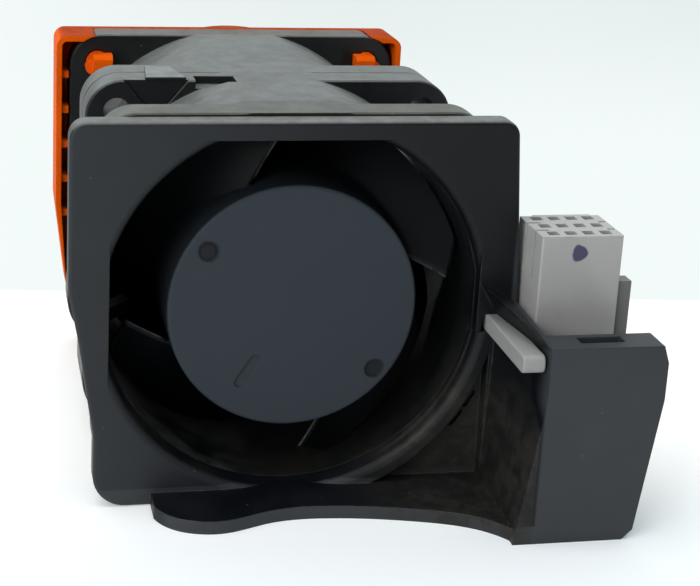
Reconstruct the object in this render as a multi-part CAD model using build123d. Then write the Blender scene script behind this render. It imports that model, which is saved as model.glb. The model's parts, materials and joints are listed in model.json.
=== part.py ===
from build123d import *
import math
import os

# Server fan module: two fans in series that turn opposite ways, in a moulded carrier.
# Every piece is drawn about the fan axis (X = 0, Z = 0) and then stood on its base.
# X runs to the right seen from the inlet, Y runs along the airflow, Z points up.

# Fans
fan_size = 60.0               # side of the square fan flanges
hole_inset = 5.0              # flange hole centre in from the flange's edges
hole_radius = 2.15
flange_corner_radius = 6.0
flange_foot_radius = 9.5      # the lower corners are rounder
flange_thickness = 6.0
flange_edge = 0.25            # chamfer round the flanges
bore_web = 1.2                # flange left between the bore and the middle of its side
barrel_wall = 2.1
front_fan_depth = 28.0
rear_fan_depth = 38.0
fit_gap = 0.03                # radial gap of seated round parts on one body
running_gap = 0.05            # radial gap of turning parts

# Inlet plate: margins are outwards from the fan's square, insets inwards, heights about the fan axis
plate_thickness = 3.5         # the front fan starts behind it
plate_left_margin = 4.1
plate_knee_margin = 2.5       # left edge where the shoulder's slope changes
plate_foot_margin = 0.15
plate_right_margin = 5.3
plate_right_lean = 2.3        # right edge leans in by this much at the top
plate_top_inset = 0.5
shoulder_top = 4.0
shoulder_knee = -4.2
shoulder_foot = -19.5
shoulder_radius = 14.0
plate_top_radius = 2.6
plate_foot_radius = 5.0
plate_edge_round = 0.6
mouth_flare = 1.6             # mouth radius beyond the bore
mouth_crease = 0.4            # the flare's inner end, beyond the bore
mouth_crease_depth = 1.0
mouth_left_inset = 1.9
mouth_right_inset = 1.4
mouth_top_inset = 3.3
floor_thickness = 2.1
recess_depth = 2.4            # sunk corner between the mouth ring and the wing
recess_top = -4.1
ring_wall = 1.5
slot_width = 1.0
slot_length = 3.2
slot_reach = 2.9              # slots outside the mouth radius
slot_angles = (-29.0, -35.4)

# Floor lip in front of the plate
lip_inset = 8.7
lip_reach = 10.0
lip_shape = ((0.0, 0.43), (0.093, 0.94), (0.186, 1.0), (0.323, 0.76), (0.5, 0.69),
             (0.76, 0.94), (0.918, 1.28))       # shares of its width and of its reach

# Side wing that carries the connector
wing_front = -18.0
wing_top = 0.1
wing_left_margin = 4.2        # left front edge, above the knee
wing_foot_margin = 0.7
wing_inner_margin = 1.0       # inner wall where it meets the plate
wing_top_width = 18.1
wing_foot_width = 18.8
wing_knee = -8.5              # height where both edges start to slant
wing_back = 5.0
wing_wall = 1.6
wing_rim_depth = 5.4          # top rim behind the wing's front face
wing_rim_wall = 1.4           # rim left in front of the hollow
wing_corner_round = 1.6
wing_corner_step = 0.9
shelf_top = -6.0              # shelf that the connector stands on
roof_height = 4.2             # where the sloping roof leaves the plate
roof_foot_inset = 2.4         # roof's lower corner on the plate, right of the wing's inner wall
roof_foot_drop = 4.0
roof_tip_drop = 1.4           # height of the roof's tip at the wing's front corner
roof_rise = 0.6
roof_overlap = 0.3            # how far the roof runs into the plate and the wing
rim_slot_margin = 9.3
rim_slot_length = 6.8
rim_slot_width = 2.3
rim_slot_depth = 2.2
rim_slot_wall = 1.0

# Connector
plug_margin = 5.4
plug_seat_gap = 0.5
plug_width = 12.8
plug_front = -7.0
plug_depth = 11.0
plug_top = 13.5
plug_rows = 3
plug_columns = 4
plug_edge_round = 0.3
plug_key_width = 2.3
plug_key_top = 6.0
plug_key_setback = 0.8
plug_key_depth = 2.6
cavity_side = 1.7
cavity_depth = 9.0
contact_side = 0.9
contact_length = 7.0
contact_chamfer = 0.2
notch_width = 2.2
notch_gap = 0.5
notch_depth = 0.45
side_groove = 0.3
bar_margin = 0.15
bar_width = 3.4
bar_bottom = -3.95
bar_top = -1.2
bar_front = -17.4
bar_back = 2.0
bar_side_room = 0.7           # beside the bar where its end enters the plate
bar_round = 1.0
bar_edge_round = 0.3
bar_seat_gap = 0.1

# Fan struts and motor bases
strut_width = 2.0
strut_depth = 4.0
strut_root = 0.5              # how far a strut runs into the base and the barrel
base_step = 1.7               # base rim inside the hub's radius
base_thickness = 1.6
base_rim_depth = 2.6
base_rim_wall = 1.0
front_strut_count = 5
rear_strut_count = 7
front_strut_angle = 20.0
rear_strut_angle = 12.0
boss_wall = 1.2
boss_depth = 4.6

# Impellers
hub_radius = 19.3
hub_wall = 1.2
hub_face_reach = 1.5          # hub face in front of the fan's own front
hub_edge_round = 0.5
hub_boss_wall = 2.5
hub_boss_depth = 3.0
mark_depth = 0.24             # moulding marks in the hub face
mark_insets = (3.2, 2.4, 7.1)
mark_angles = (145.0, -38.0, 236.7)
mark_radius = 1.5
mark_length = 5.8
mark_ring_wall = 0.4
mark_turn = -58.0             # the long mark's slant
blade_tip_gap = 0.6
front_blade_count = 4
rear_blade_count = 5
blade_start = 2.7             # leading edges behind the fan's own front
blade_base_gap = 2.4          # between the blades and the struts
blade_twist = 108.0           # turn of a blade's root from leading to trailing edge
blade_sweep = 22.0            # how far the tip trails the root, at the leading edge
blade_sweep_gain = 24.0       # and how much more at the trailing edge
blade_edge_thickness = 0.9
blade_middle_thickness = 2.4
blade_tip_round = 3.0
blade_sections = 9
front_blade_angle = 22.5
rear_blade_angle = 10.0

# Motors
shaft_radius = 1.5
shaft_end_gap = 1.0
bearing_radius = 4.0
bearing_width = 3.0
bearing_race = 0.75
bearing_end_gap = 0.3
shield_thickness = 0.3
tube_wall = 1.2
tube_start_gap = 1.6
tube_shoulder = 0.5
air_gap = 0.4
magnet_thickness = 1.9
magnet_start_gap = 1.5
magnet_end_gap = 0.6
yoke_thickness = 1.0
tooth_count = 6
tooth_width = 3.4
tooth_root = 0.6
stator_start_gap = 2.2
shoe_thickness = 1.4
shoe_gap = 2.2
coil_thickness = 1.5
coil_length = 3.0             # along a tooth
coil_gap = 0.15
insulator_thickness = 0.6
insulator_margin = 0.8
front_stator_length = 12.0
rear_stator_length = 17.0
board_thickness = 1.0
board_gap = 0.4
chip_side = 3.2
chip_depth = 2.4
chip_height = 0.6
chip_radius = 9.6
chip_angles = (20, 95, 150, 230, 300)
clip_thickness = 0.4
clip_rim = 1.2
clip_groove = 0.35
clip_mouth = 1.8
clip_gap = 0.05
spring_wire = 0.25
spring_turns = 2.0
spring_gap = 0.45             # wire's middle outside the shaft

# Outlet frame
outlet_reach = 7.7            # side walls forward of the rear fan's outlet face
outlet_wall = 1.0
outlet_foot_wall = 0.85       # wall below the fan
outlet_gap = 0.15             # fan flange to that wall
outlet_left_gap = 1.4         # pocket between the left wall and the fan flange
outlet_right_gap = 0.2
outlet_plate_thickness = 2.0
outlet_rim = 1.3
outlet_corner_radius = 2.0
outlet_rib_pitch = 6.5
outlet_rib_width = 1.2
outlet_rib_count = 5
outlet_rib_inset = 7.2
outlet_rib_setback = 0.8
outlet_waist_height = -1.4    # where the sides start to close in
outlet_foot_height = -18.0
outlet_waist_radius = 8.0
outlet_foot_lean = 0.3        # side beyond the fan's square at the foot height
outlet_base_inset = 3.0       # side in from the fan's square at the base
outlet_wall_end = -17.0       # the side walls end at this height
pin_clearance = 0.15
pin_head_length = 3.4
pin_head_width = 3.5
pin_head_height = 3.4
pin_barb = 1.3
pin_head_shift = 0.8           # rear heads are set off towards the fan's middle
pin_chamfer = 0.7
front_pin_radius = 2.5
front_pin_head = 3.2
pin_slot = 0.8
pin_overrun = 0.1             # heads stand this far off the flange

# Joint clip on top of the two fans
clip_tab_inset = 9.5
clip_tab_width = 6.5
clip_tab_thickness = 0.5
clip_tab_lead = 0.1           # tab's front edge behind the flange's front face
clip_tab_length = 8.2
clip_edge_round = 0.25
clip_left_taper = 0.7         # how much the tab narrows towards its back
clip_right_taper = 1.6
skirt_left_margin = 3.5       # skirt wider than the tab
skirt_right_margin = 0.4
skirt_foot_width = 3.5
skirt_height = 4.0
skirt_setback = 0.5
skirt_thickness = 1.0
peg_depth = 1.2
peg_length = 1.2
peg_inset = 0.8
top_notch_gap = 8.0           # notch in the flange's top edge, right of the tab's left side
top_notch_width = 6.5
top_notch_length = 3.2
top_notch_depth = 1.3

half_size = fan_size / 2
axis_height = half_size + outlet_gap + outlet_foot_wall    # fan axis above the rest face
bore_radius = half_size - bore_web
barrel_radius = bore_radius + barrel_wall
hole_offset = half_size - hole_inset
front_fan_start = plate_thickness
fan_joint = front_fan_start + front_fan_depth
rear_fan_end = fan_joint + rear_fan_depth
outlet_front = rear_fan_end - outlet_reach
outlet_back = rear_fan_end + outlet_plate_thickness + outlet_rim
low = -axis_height
floor_top = low + floor_thickness
mouth_radius = bore_radius + mouth_flare
mouth_right = half_size - mouth_right_inset
wing_left_top = half_size + wing_left_margin
wing_left_foot = half_size + wing_foot_margin
wing_right_top = wing_left_top + wing_top_width
wing_right_foot = wing_left_foot + wing_foot_width
wing_inner_back = half_size + wing_inner_margin
plug_left = half_size + plug_margin
bar_left = half_size + bar_margin
bar_right = bar_left + bar_width
blade_tip_radius = bore_radius - blade_tip_gap
base_radius = hub_radius - base_step
yoke_outer = hub_radius - hub_wall - fit_gap
magnet_outer = yoke_outer - yoke_thickness
magnet_inner = magnet_outer - magnet_thickness
stator_radius = magnet_inner - air_gap
coil_inside = tooth_width / 2 + coil_gap
coil_side = coil_inside + coil_thickness
coil_outer = math.sqrt((stator_radius - shoe_thickness) ** 2 - coil_side ** 2) - coil_gap
coil_inner = coil_outer - coil_length
stator_back_radius = coil_inner - coil_gap - insulator_thickness
tube_inner = bearing_radius + fit_gap
tube_outer = tube_inner + tube_wall
boss_radius = tube_outer + boss_wall
clip_tab_left = -(half_size - clip_tab_inset)
clip_tab_right = clip_tab_left + clip_tab_width
peg_left = clip_tab_left + clip_left_taper + peg_inset
peg_right = clip_tab_right - clip_right_taper - peg_inset
joint_front = fan_joint - flange_thickness


def box_between(low, high):
    """A box from its lowest corner to its highest corner."""
    size = [high[i] - low[i] for i in range(3)]
    return Pos(*low) * Box(*size, align=(Align.MIN, Align.MIN, Align.MIN))


def disc(radius, y_start, y_end, x=0.0, z=0.0):
    """A round bar along the fan axis."""
    bar = Cylinder(radius, y_end - y_start, align=(Align.CENTER, Align.CENTER, Align.MIN))
    return Pos(x, y_start, z) * (Rot(-90, 0, 0) * bar)


def ring(outer, inner, y_start, y_end, x=0.0, z=0.0):
    """A round tube along the fan axis."""
    return disc(outer, y_start, y_end, x, z) - disc(inner, y_start - 1, y_end + 1, x, z)


def turned(points):
    """A solid turned about the fan axis from points of radius and Y."""
    face = make_face(Polyline(*[(r, y) for r, y in points], close=True))
    return revolve(face, Axis.Y)


def plate_from(points, y_start, y_end):
    """A flat piece along Y from a closed outline of X and Z."""
    face = Plane.XZ * make_face(Polyline(*points, close=True))
    return Pos(0, y_end, 0) * extrude(face, y_end - y_start)


def solid_of(shape):
    """The largest solid of a shape, so that no crumbs are kept."""
    return max(shape.solids(), key=lambda s: s.volume)


def flange_corners():
    """The four places of the flange holes."""
    return [(x, z) for x in (-hole_offset, hole_offset) for z in (-hole_offset, hole_offset)]


def outline(corners, y_start, y_end):
    """A flat piece along Y from corners of X, Z and corner radius."""
    points = [(x, z) for x, z, radius in corners]
    radii = [radius for x, z, radius in corners]
    face = Plane.XZ * make_face(FilletPolyline(*points, radius=radii, close=True))
    return Pos(0, y_end, 0) * extrude(face, y_end - y_start)


def square_flange(y_start, y_end):
    """A square fan flange with round corners, its bore and its four holes."""
    side = half_size
    flange = outline([
        (side, side, flange_corner_radius), (-side, side, flange_corner_radius),
        (-side, -side, flange_foot_radius), (side, -side, flange_foot_radius)], y_start, y_end)
    flange = chamfer(flange.faces().filter_by(Axis.Y).edges(), flange_edge)
    for x, z in flange_corners():
        flange -= disc(hole_radius, y_start - 1, y_end + 1, x, z)
    return flange - disc(bore_radius, y_start - 1, y_end + 1)


def fan_frame(depth, strut_count, rest_angle):
    """Frame of one fan, its hub side at Y = 0 and its motor base at Y = depth."""
    barrel = disc(barrel_radius, 0, depth) & box_between(
        (-half_size, 0, -half_size), (half_size, depth, half_size))
    barrel -= disc(bore_radius, -1, depth + 1)
    frame = barrel + square_flange(0, flange_thickness)
    frame += square_flange(depth - flange_thickness, depth)
    base = ring(base_radius, tube_outer + fit_gap, depth - base_thickness, depth)
    base += ring(base_radius, base_radius - base_rim_wall, depth - base_rim_depth, depth)
    base += ring(boss_radius, tube_outer + fit_gap, depth - boss_depth, depth)
    base += disc(boss_radius, depth - base_thickness / 2, depth)
    strut = box_between(
        (-strut_width / 2, depth - strut_depth, base_radius - strut_root),
        (strut_width / 2, depth, bore_radius + strut_root))
    strut = strut.rotate(Axis.Y, rest_angle)
    for i in range(strut_count):
        frame += strut.rotate(Axis.Y, 360.0 * i / strut_count)
    return solid_of(frame + base)


def blade_section(share, length, hand):
    """Outline of a blade cut square to the fan axis, at a share of its length."""
    swell = math.sin(math.pi * share) ** 0.8
    half = (blade_edge_thickness + (blade_middle_thickness - blade_edge_thickness) * swell) / 2
    inner = hub_radius - hub_wall / 2
    outer = blade_tip_radius + hub_wall
    middle = (inner + outer) / 2
    side_points = []
    for side in (-1, 1):
        for radius in (inner, middle, outer):
            reach = (radius - inner) / (outer - inner)
            lean = (blade_sweep + blade_sweep_gain * share) * reach ** 0.75
            angle = hand * (blade_twist * share - lean)
            turn = math.radians(angle) + side * half / radius
            side_points.append((radius * math.cos(turn), radius * math.sin(turn)))
    first = ThreePointArc(*side_points[0:3])
    second = ThreePointArc(*side_points[3:6])
    foot = Line(side_points[3], side_points[0])
    tip = Line(side_points[2], side_points[5])
    section = make_face(Wire([first, tip, second, foot]))
    return Plane((0, share * length, 0), x_dir=(1, 0, 0), z_dir=(0, -1, 0)) * section


def blade(length, hand):
    """One twisted blade, its leading end at Y = 0, trimmed to the bore with round tip corners."""
    last = blade_sections - 1
    sections = [blade_section(i / last, length, hand) for i in range(blade_sections)]
    body = loft(sections)
    inner = hub_radius - hub_wall
    trim_face = Plane.XY * make_face(Polyline(
        (inner, -1), (blade_tip_radius - blade_tip_round, 0), (blade_tip_radius, blade_tip_round),
        (blade_tip_radius, length - blade_tip_round), (blade_tip_radius - blade_tip_round, length),
        (inner, length + 1), close=True))
    return body & revolve(trim_face, Axis.Y)


def impeller(depth, blade_count, blade_angle, hand):
    """Hub cup with its blades, the hub face towards Y = 0."""
    back = depth - strut_depth - blade_base_gap
    face = -hub_face_reach
    cup = disc(hub_radius, face, back)
    cup = fillet(cup.edges().group_by(Axis.Y)[0], hub_edge_round)
    cup -= disc(hub_radius - hub_wall, face + hub_wall, back + 1)
    cup += disc(shaft_radius + hub_boss_wall, face + hub_wall / 2, face + hub_wall + hub_boss_depth)
    cup -= disc(shaft_radius + fit_gap, face + hub_wall / 2, back)
    one = Pos(0, blade_start, 0) * blade(back - blade_start, hand)
    for i in range(blade_count):
        cup += one.rotate(Axis.Y, -(blade_angle + 360.0 * i / blade_count))
    return solid_of(cup)


def hub_marks(cup):
    """Moulding marks in the front hub's face: a ring, a round dent and a long dent."""
    face = -hub_face_reach
    places = [((hub_radius - inset) * math.cos(math.radians(angle)),
               (hub_radius - inset) * math.sin(math.radians(angle)))
              for inset, angle in zip(mark_insets, mark_angles)]
    cup -= ring(mark_radius, mark_radius - mark_ring_wall, face - 1, face + mark_depth / 2, *places[0])
    cup -= disc(mark_radius, face - 1, face + mark_depth * 2, *places[1])
    slot = Rot(90, 0, 0) * extrude(SlotOverall(mark_length, mark_radius), mark_depth, both=True)
    return solid_of(cup - Pos(places[2][0], face, places[2][1]) * (Rot(0, mark_turn, 0) * slot))


def motor_parts(depth, stator_length):
    """Everything between the hub cup and the base of one fan, in the fan's own frame."""
    parts = {}
    cup_floor = hub_wall - hub_face_reach
    cup_back = depth - strut_depth - blade_base_gap
    boss_end = cup_floor + hub_boss_depth
    tube_start = boss_end + tube_start_gap
    tube_end = depth - base_thickness / 2
    shaft_end = tube_end - shaft_end_gap
    parts["rotor_yoke"] = ring(yoke_outer, magnet_outer, cup_floor, cup_back)
    magnet_start = cup_floor + magnet_start_gap
    magnet_end = cup_back - magnet_end_gap
    parts["magnet_ring"] = ring(magnet_outer - fit_gap, magnet_inner, magnet_start, magnet_end)
    clip_y = shaft_end - 2.5 * clip_thickness
    groove = ring(shaft_radius + 1, shaft_radius - clip_groove, clip_y, clip_y + clip_thickness)
    parts["shaft"] = solid_of(disc(shaft_radius, cup_floor - hub_wall / 2, shaft_end) - groove)
    first = tube_start + bearing_end_gap
    second = clip_y - bearing_end_gap / 2 - bearing_width
    tube = ring(tube_outer, tube_inner, tube_start, tube_end)
    tube += ring(tube_outer, tube_inner - tube_shoulder, first + bearing_width, second)
    parts["bearing_tube"] = solid_of(tube)
    outer_rings = []
    inner_rings = []
    for start in (first, second):
        race = ring(bearing_radius, bearing_radius - bearing_race, start, start + bearing_width)
        shield_bore = shaft_radius + bearing_race + running_gap
        race += ring(bearing_radius, shield_bore, start, start + shield_thickness)
        race += ring(bearing_radius, shield_bore, start + bearing_width - shield_thickness,
                     start + bearing_width)
        outer_rings.append(solid_of(race))
        inner_rings.append(ring(shaft_radius + bearing_race, shaft_radius + fit_gap / 2,
                                start, start + bearing_width))
    parts["bearing_outer_rings"] = Compound(outer_rings)
    parts["bearing_inner_rings"] = Compound([solid_of(r) for r in inner_rings])
    core_start = magnet_start + stator_start_gap
    core_end = core_start + stator_length
    core = ring(stator_back_radius, tube_outer + fit_gap, core_start, core_end)
    tooth = box_between((-tooth_width / 2, core_start, stator_back_radius - tooth_root),
                        (tooth_width / 2, core_end, stator_radius - shoe_thickness / 2))
    shoes = ring(stator_radius, stator_radius - shoe_thickness, core_start, core_end)
    shoe_slot = box_between((-shoe_gap / 2, core_start - 1, stator_radius - 2 * shoe_thickness),
                            (shoe_gap / 2, core_end + 1, stator_radius + 1))
    for i in range(tooth_count):
        shoes -= shoe_slot.rotate(Axis.Y, 360.0 * (i + 0.5) / tooth_count)
    core += shoes
    for i in range(tooth_count):
        core += tooth.rotate(Axis.Y, 360.0 * i / tooth_count)
    parts["stator_core"] = solid_of(core)
    lift = insulator_thickness + coil_gap
    coil = box_between((-coil_side, core_start - lift - coil_thickness, coil_inner),
                       (coil_side, core_end + lift + coil_thickness, coil_outer))
    coil = fillet(coil.edges().filter_by(Axis.Z), coil_thickness * 0.6)
    coil -= box_between((-coil_inside, core_start - lift, coil_inner - 1),
                        (coil_inside, core_end + lift, coil_outer + 1))
    parts["stator_windings"] = Compound(
        [coil.rotate(Axis.Y, 360.0 * i / tooth_count) for i in range(tooth_count)])
    insulators = []
    for start in (core_start - insulator_thickness, core_end):
        end = start + insulator_thickness
        cap = ring(stator_back_radius, tube_outer + fit_gap, start, end)
        arm = box_between((-tooth_width / 2, start, stator_back_radius - tooth_root),
                          (tooth_width / 2, end, stator_radius - insulator_margin))
        for i in range(tooth_count):
            cap += arm.rotate(Axis.Y, 360.0 * i / tooth_count)
        insulators.append(solid_of(cap))
    parts["stator_insulators"] = Compound(insulators)
    board_y = depth - base_thickness
    board_front = board_y - board_thickness
    board = ring(base_radius - base_rim_wall - board_gap, boss_radius + board_gap, board_front, board_y)
    chip = box_between((-chip_side / 2, board_front - chip_height, chip_radius),
                       (chip_side / 2, board_y - board_thickness / 2, chip_radius + chip_depth))
    for angle in chip_angles:
        board += chip.rotate(Axis.Y, angle)
    parts["circuit_board"] = solid_of(board)
    spring_length = first - boss_end - 2 * (spring_wire + clip_gap)
    coil_path = Helix(spring_length / spring_turns, spring_length, shaft_radius + spring_gap)
    section = Plane(coil_path @ 0, z_dir=coil_path % 0) * Circle(spring_wire)
    spring = Rot(-90, 0, 0) * sweep(section, coil_path, is_frenet=True)
    parts["preload_spring"] = Pos(0, boss_end + spring_wire + clip_gap, 0) * spring
    e_clip = ring(shaft_radius + clip_rim, shaft_radius - clip_groove + clip_gap, clip_y + clip_gap,
                  clip_y + clip_thickness - clip_gap)
    e_clip -= box_between((-clip_mouth / 2, clip_y - 1, 0), (clip_mouth / 2, clip_y + 1, half_size))
    parts["retaining_clip"] = solid_of(e_clip)
    return parts


def front_placed(shape):
    return Pos(0, front_fan_start, 0) * shape


def rear_placed(shape):
    return Pos(0, rear_fan_end, 0) * (Rot(0, 0, 180) * shape)


def inlet_plate():
    """The plate, with the shoulder in its left edge and its front edge rounded."""
    top = half_size - plate_top_inset
    foot_left = -(half_size + plate_foot_margin)
    left = -(half_size + plate_left_margin)
    right = half_size + plate_right_margin
    plate = outline([
        (foot_left, low, plate_foot_radius), (right, low, 0), (right, wing_top, 0),
        (right - plate_right_lean, top, plate_top_radius), (left, top, plate_top_radius),
        (left, shoulder_top, shoulder_radius),
        (-(half_size + plate_knee_margin), shoulder_knee, shoulder_radius),
        (foot_left, shoulder_foot, shoulder_radius)], 0, plate_thickness)
    rim = plate.faces().sort_by(Axis.Y)[0].edges().filter_by(lambda e: e.center().Z > low + 1)
    plate = fillet(rim, plate_edge_round)
    return plate - box_between((wing_inner_back + wing_wall, -1, low - 1), (right + 1, wing_back, wing_top))


def mouth_space():
    """The air mouth: a flare and a throat down to the bore, cut by the flats of the plate."""
    deep = plate_thickness + 1
    crease = bore_radius + mouth_crease
    middle = (crease + (mouth_radius - crease) * 0.35, mouth_crease_depth * 0.4)
    profile = make_face(Wire([
        Line((0, -1), (mouth_radius, -1)), Line((mouth_radius, -1), (mouth_radius, 0)),
        ThreePointArc((mouth_radius, 0), middle, (crease, mouth_crease_depth)),
        Line((crease, mouth_crease_depth), (bore_radius, plate_thickness)),
        Line((bore_radius, plate_thickness), (bore_radius, deep)),
        Line((bore_radius, deep), (0, deep)), Line((0, deep), (0, -1))]))
    trumpet = revolve(Plane.XY * profile, Axis.Y)
    left = mouth_left_inset - half_size
    upper = box_between((left, -2, recess_top), (mouth_right, deep, half_size - mouth_top_inset))
    lower = box_between((left, -2, floor_top), (wing_inner_back, deep, recess_top))
    return trumpet & (upper + lower)


def corner_recess():
    """The sunk corner between the mouth ring and the wing, with its two slots."""
    box = box_between((0, -1, floor_top), (wing_inner_back, recess_depth, recess_top))
    recess = box - disc(mouth_radius + ring_wall, -2, recess_depth + 1)
    slot = extrude(Plane.XZ * SlotOverall(slot_length, slot_width), plate_thickness + 1, both=True)
    for angle in slot_angles:
        recess += (Pos(0, 0, mouth_radius + slot_reach) * slot).rotate(Axis.Y, 90 - angle)
    return recess


def floor_lip():
    """The scoop floor in front of the plate, seen from above."""
    left = lip_inset - half_size
    corner = (wing_left_foot + wing_wall / 3, wing_front + wing_wall / 3)
    points = [(left + share * (corner[0] - left), -lip_reach * reach) for share, reach in lip_shape]
    back = plate_thickness / 2
    rest = Polyline(corner, (wing_inner_back + wing_wall, back), (left, back), points[0])
    face = Pos(0, 0, low) * make_face(Wire([Spline(*points, corner), *rest.edges()]))
    return extrude(face, floor_thickness)


def wing_shell():
    """The side wing: front face, slanted inner wall, connector shelf and lead duct."""
    sections = []
    for y, left_top, left_foot in ((wing_front, wing_left_top, wing_left_foot),
                                   (wing_back, wing_inner_back, wing_inner_back)):
        corners = [
            (left_top, wing_top), (left_top, wing_knee), (left_foot, low),
            (wing_right_foot - wing_corner_round, low), (wing_right_foot, low + wing_corner_round),
            (wing_right_top, wing_knee), (wing_right_top, wing_top - 3 * wing_corner_step),
            (wing_right_top - wing_corner_step, wing_top)]
        face = Plane.XZ * make_face(Polyline(*corners, close=True))
        sections.append(Pos(0, y, 0) * face)
    shell = loft(sections, ruled=True)
    pocket_left = plug_left - plug_seat_gap
    rim_back = wing_front + wing_rim_depth
    shell -= box_between((pocket_left, rim_back, shelf_top),
                         (wing_right_top + 1, wing_back + 1, wing_top + 1))
    duct_top = shelf_top - wing_wall
    duct_slope = (wing_left_top - wing_left_foot) * 0.9
    duct_left = pocket_left + wing_wall / 5
    duct_right = wing_right_top - wing_wall
    duct_foot = wing_right_foot - wing_wall * 1.1
    shell -= plate_from([
        (duct_left, duct_top), (duct_left - duct_slope, low + wing_wall), (duct_foot, low + wing_wall),
        (duct_right, wing_knee), (duct_right, duct_top)], wing_front + wing_wall, wing_back + 1)
    shell -= box_between((duct_left + wing_wall / 2, wing_front + wing_wall, duct_top - 1),
                         (duct_right, wing_front + wing_wall + wing_rim_wall,
                          wing_top - rim_slot_depth - wing_rim_wall / 2))
    slot_left = half_size + rim_slot_margin
    slot_back = rim_back - rim_slot_wall
    shell -= box_between((slot_left, slot_back - rim_slot_width, wing_top - rim_slot_depth),
                         (slot_left + rim_slot_length, slot_back, wing_top + 1))
    return solid_of(shell)


def wing_roof():
    """The sloping roof from the plate's right strip down to the wing's front corner."""
    back = Plane.XZ * make_face(Polyline(
        (mouth_right, roof_height), (plug_left - plug_seat_gap, wing_top + roof_rise),
        (wing_inner_back + roof_foot_inset, wing_top - roof_foot_drop), close=True))
    front = Plane.XZ * make_face(Polyline(
        (wing_left_top - roof_overlap, wing_top), (wing_left_top + roof_rise, wing_top - roof_overlap / 3),
        (wing_left_top + roof_overlap, wing_top - roof_tip_drop), close=True))
    return loft([Pos(0, roof_overlap, 0) * back, Pos(0, wing_front + roof_overlap, 0) * front], ruled=True)


def pin_stem(length):
    """Stem of a snap pin in a flange hole, along +Y."""
    return disc(hole_radius - pin_clearance, 0, length)


def pin_split(length):
    """The cut that lets a snap pin's halves spring together."""
    return box_between((-pin_slot / 2, length / 2, -hole_inset), (pin_slot / 2, length * 3, hole_inset))


def domed_pin():
    """Front snap pin: a round domed head beyond the front fan's flange."""
    length = flange_thickness + pin_overrun
    end = length + front_pin_head
    head = turned([(0, length), (front_pin_radius, length), (front_pin_radius, end - front_pin_head * 0.6),
                   (front_pin_radius * 0.8, end - front_pin_head * 0.25), (front_pin_radius * 0.4, end),
                   (0, end)])
    return pin_stem(length) + head - pin_split(length)


def block_pin(side):
    """Rear snap pin: a square head with a round barb on its outer side."""
    length = flange_thickness + pin_overrun
    half = pin_head_width / 2
    tall = pin_head_height / 2
    end = length + pin_head_length
    middle = -side * pin_head_shift
    head = box_between((middle - half, length, -tall), (middle + half, end, tall))
    head = chamfer(head.faces().sort_by(Axis.Y)[-1].edges().filter_by(Axis.X), pin_chamfer)
    head += disc(pin_barb, length, length + pin_head_length * 0.7, middle + side * half, -tall / 3)
    return pin_stem(length) + head


def bar_channel(room):
    """The key bar's seat: the bar's own room, and more on its open left side."""
    return box_between((bar_left - room, bar_front - 1, bar_bottom - bar_seat_gap),
                       (bar_right + bar_seat_gap, bar_back + bar_seat_gap, bar_top + bar_seat_gap))


def inlet_shroud():
    """Plate, mouth, lip and wing as the one moulding that they are."""
    plate = inlet_plate() - mouth_space() - corner_recess() - bar_channel(bar_side_room)
    for x, z in flange_corners():
        plate += Pos(x, plate_thickness, z) * domed_pin()
    open_channel = bar_channel(wing_wall * 2)
    wing = (wing_shell() - open_channel) + (wing_roof() - open_channel)
    return solid_of(plate + floor_lip() + wing)


def cavity_places():
    """Centres of the connector's cavities."""
    pitch_x = plug_width / (plug_columns + 0.6)
    pitch_y = plug_depth / plug_rows
    middle = plug_left + plug_width / 2
    return [(middle + (c - (plug_columns - 1) / 2) * pitch_x, plug_front + (r + 0.5) * pitch_y)
            for r in range(plug_rows) for c in range(plug_columns)]


def connector_housing():
    """Plug body with its cavities, end notches, side grooves and key rib."""
    right = plug_left + plug_width
    back = plug_front + plug_depth
    body = box_between((plug_left, plug_front, shelf_top), (right, back, plug_top))
    body = fillet(body.edges().filter_by(Axis.Z), plug_edge_round)
    rib_front = plug_front + plug_key_setback
    body += box_between((right - plug_edge_round, rib_front, shelf_top),
                        (right + plug_key_width, rib_front + plug_key_depth, plug_key_top))
    for x, y in cavity_places():
        body -= box_between((x - cavity_side / 2, y - cavity_side / 2, plug_top - cavity_depth),
                            (x + cavity_side / 2, y + cavity_side / 2, plug_top + 1))
    pitch = plug_depth / plug_rows
    for row in range(1, plug_rows + 1):
        y = plug_front + row * pitch - notch_gap / 2
        for near, far, deep in ((plug_left - 1, plug_left + notch_width, notch_depth),
                                (right - notch_width * 0.6, right + 1, notch_depth),
                                (plug_left - 1, plug_left + side_groove, plug_top - plug_key_top)):
            body -= box_between((near, y - notch_gap / 2, plug_top - deep),
                                (far, y + notch_gap / 2, plug_top + 1))
    return solid_of(body)


def connector_contacts():
    """One square socket contact standing in each cavity."""
    floor = plug_top - cavity_depth
    contacts = []
    for x, y in cavity_places():
        half = contact_side / 2
        post = box_between((x - half, y - half, floor), (x + half, y + half, floor + contact_length))
        contacts.append(chamfer(post.faces().sort_by(Axis.Z)[-1].edges(), contact_chamfer))
    return Compound(contacts)


def connector_key_bar():
    """Long grey bar in its channel along the wing's inner wall."""
    bar = box_between((bar_left, bar_front, bar_bottom), (bar_right, bar_back, bar_top))
    bar = fillet(bar.edges().filter_by(Axis.X).group_by(Axis.Y)[0], bar_round)
    return fillet(bar.edges().filter_by(Axis.Y).group_by(Axis.Z)[-1], bar_edge_round)


def outlet_sides(wall, base, corner):
    """Outline of the outlet frame, drawn in by a wall: right edge upwards, then left edge down."""
    top = half_size - wall
    foot = half_size + outlet_foot_lean
    corners = []
    for end, gap in ((1, outlet_right_gap), (-1, outlet_left_gap)):
        side = half_size + gap + outlet_wall - wall
        edge = [(end * (half_size - outlet_base_inset), base, corner),
                (end * foot, outlet_foot_height, outlet_waist_radius),
                (end * side, outlet_waist_height, outlet_waist_radius), (end * side, top, corner)]
        corners += edge if end > 0 else reversed(edge)
    return corners


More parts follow.
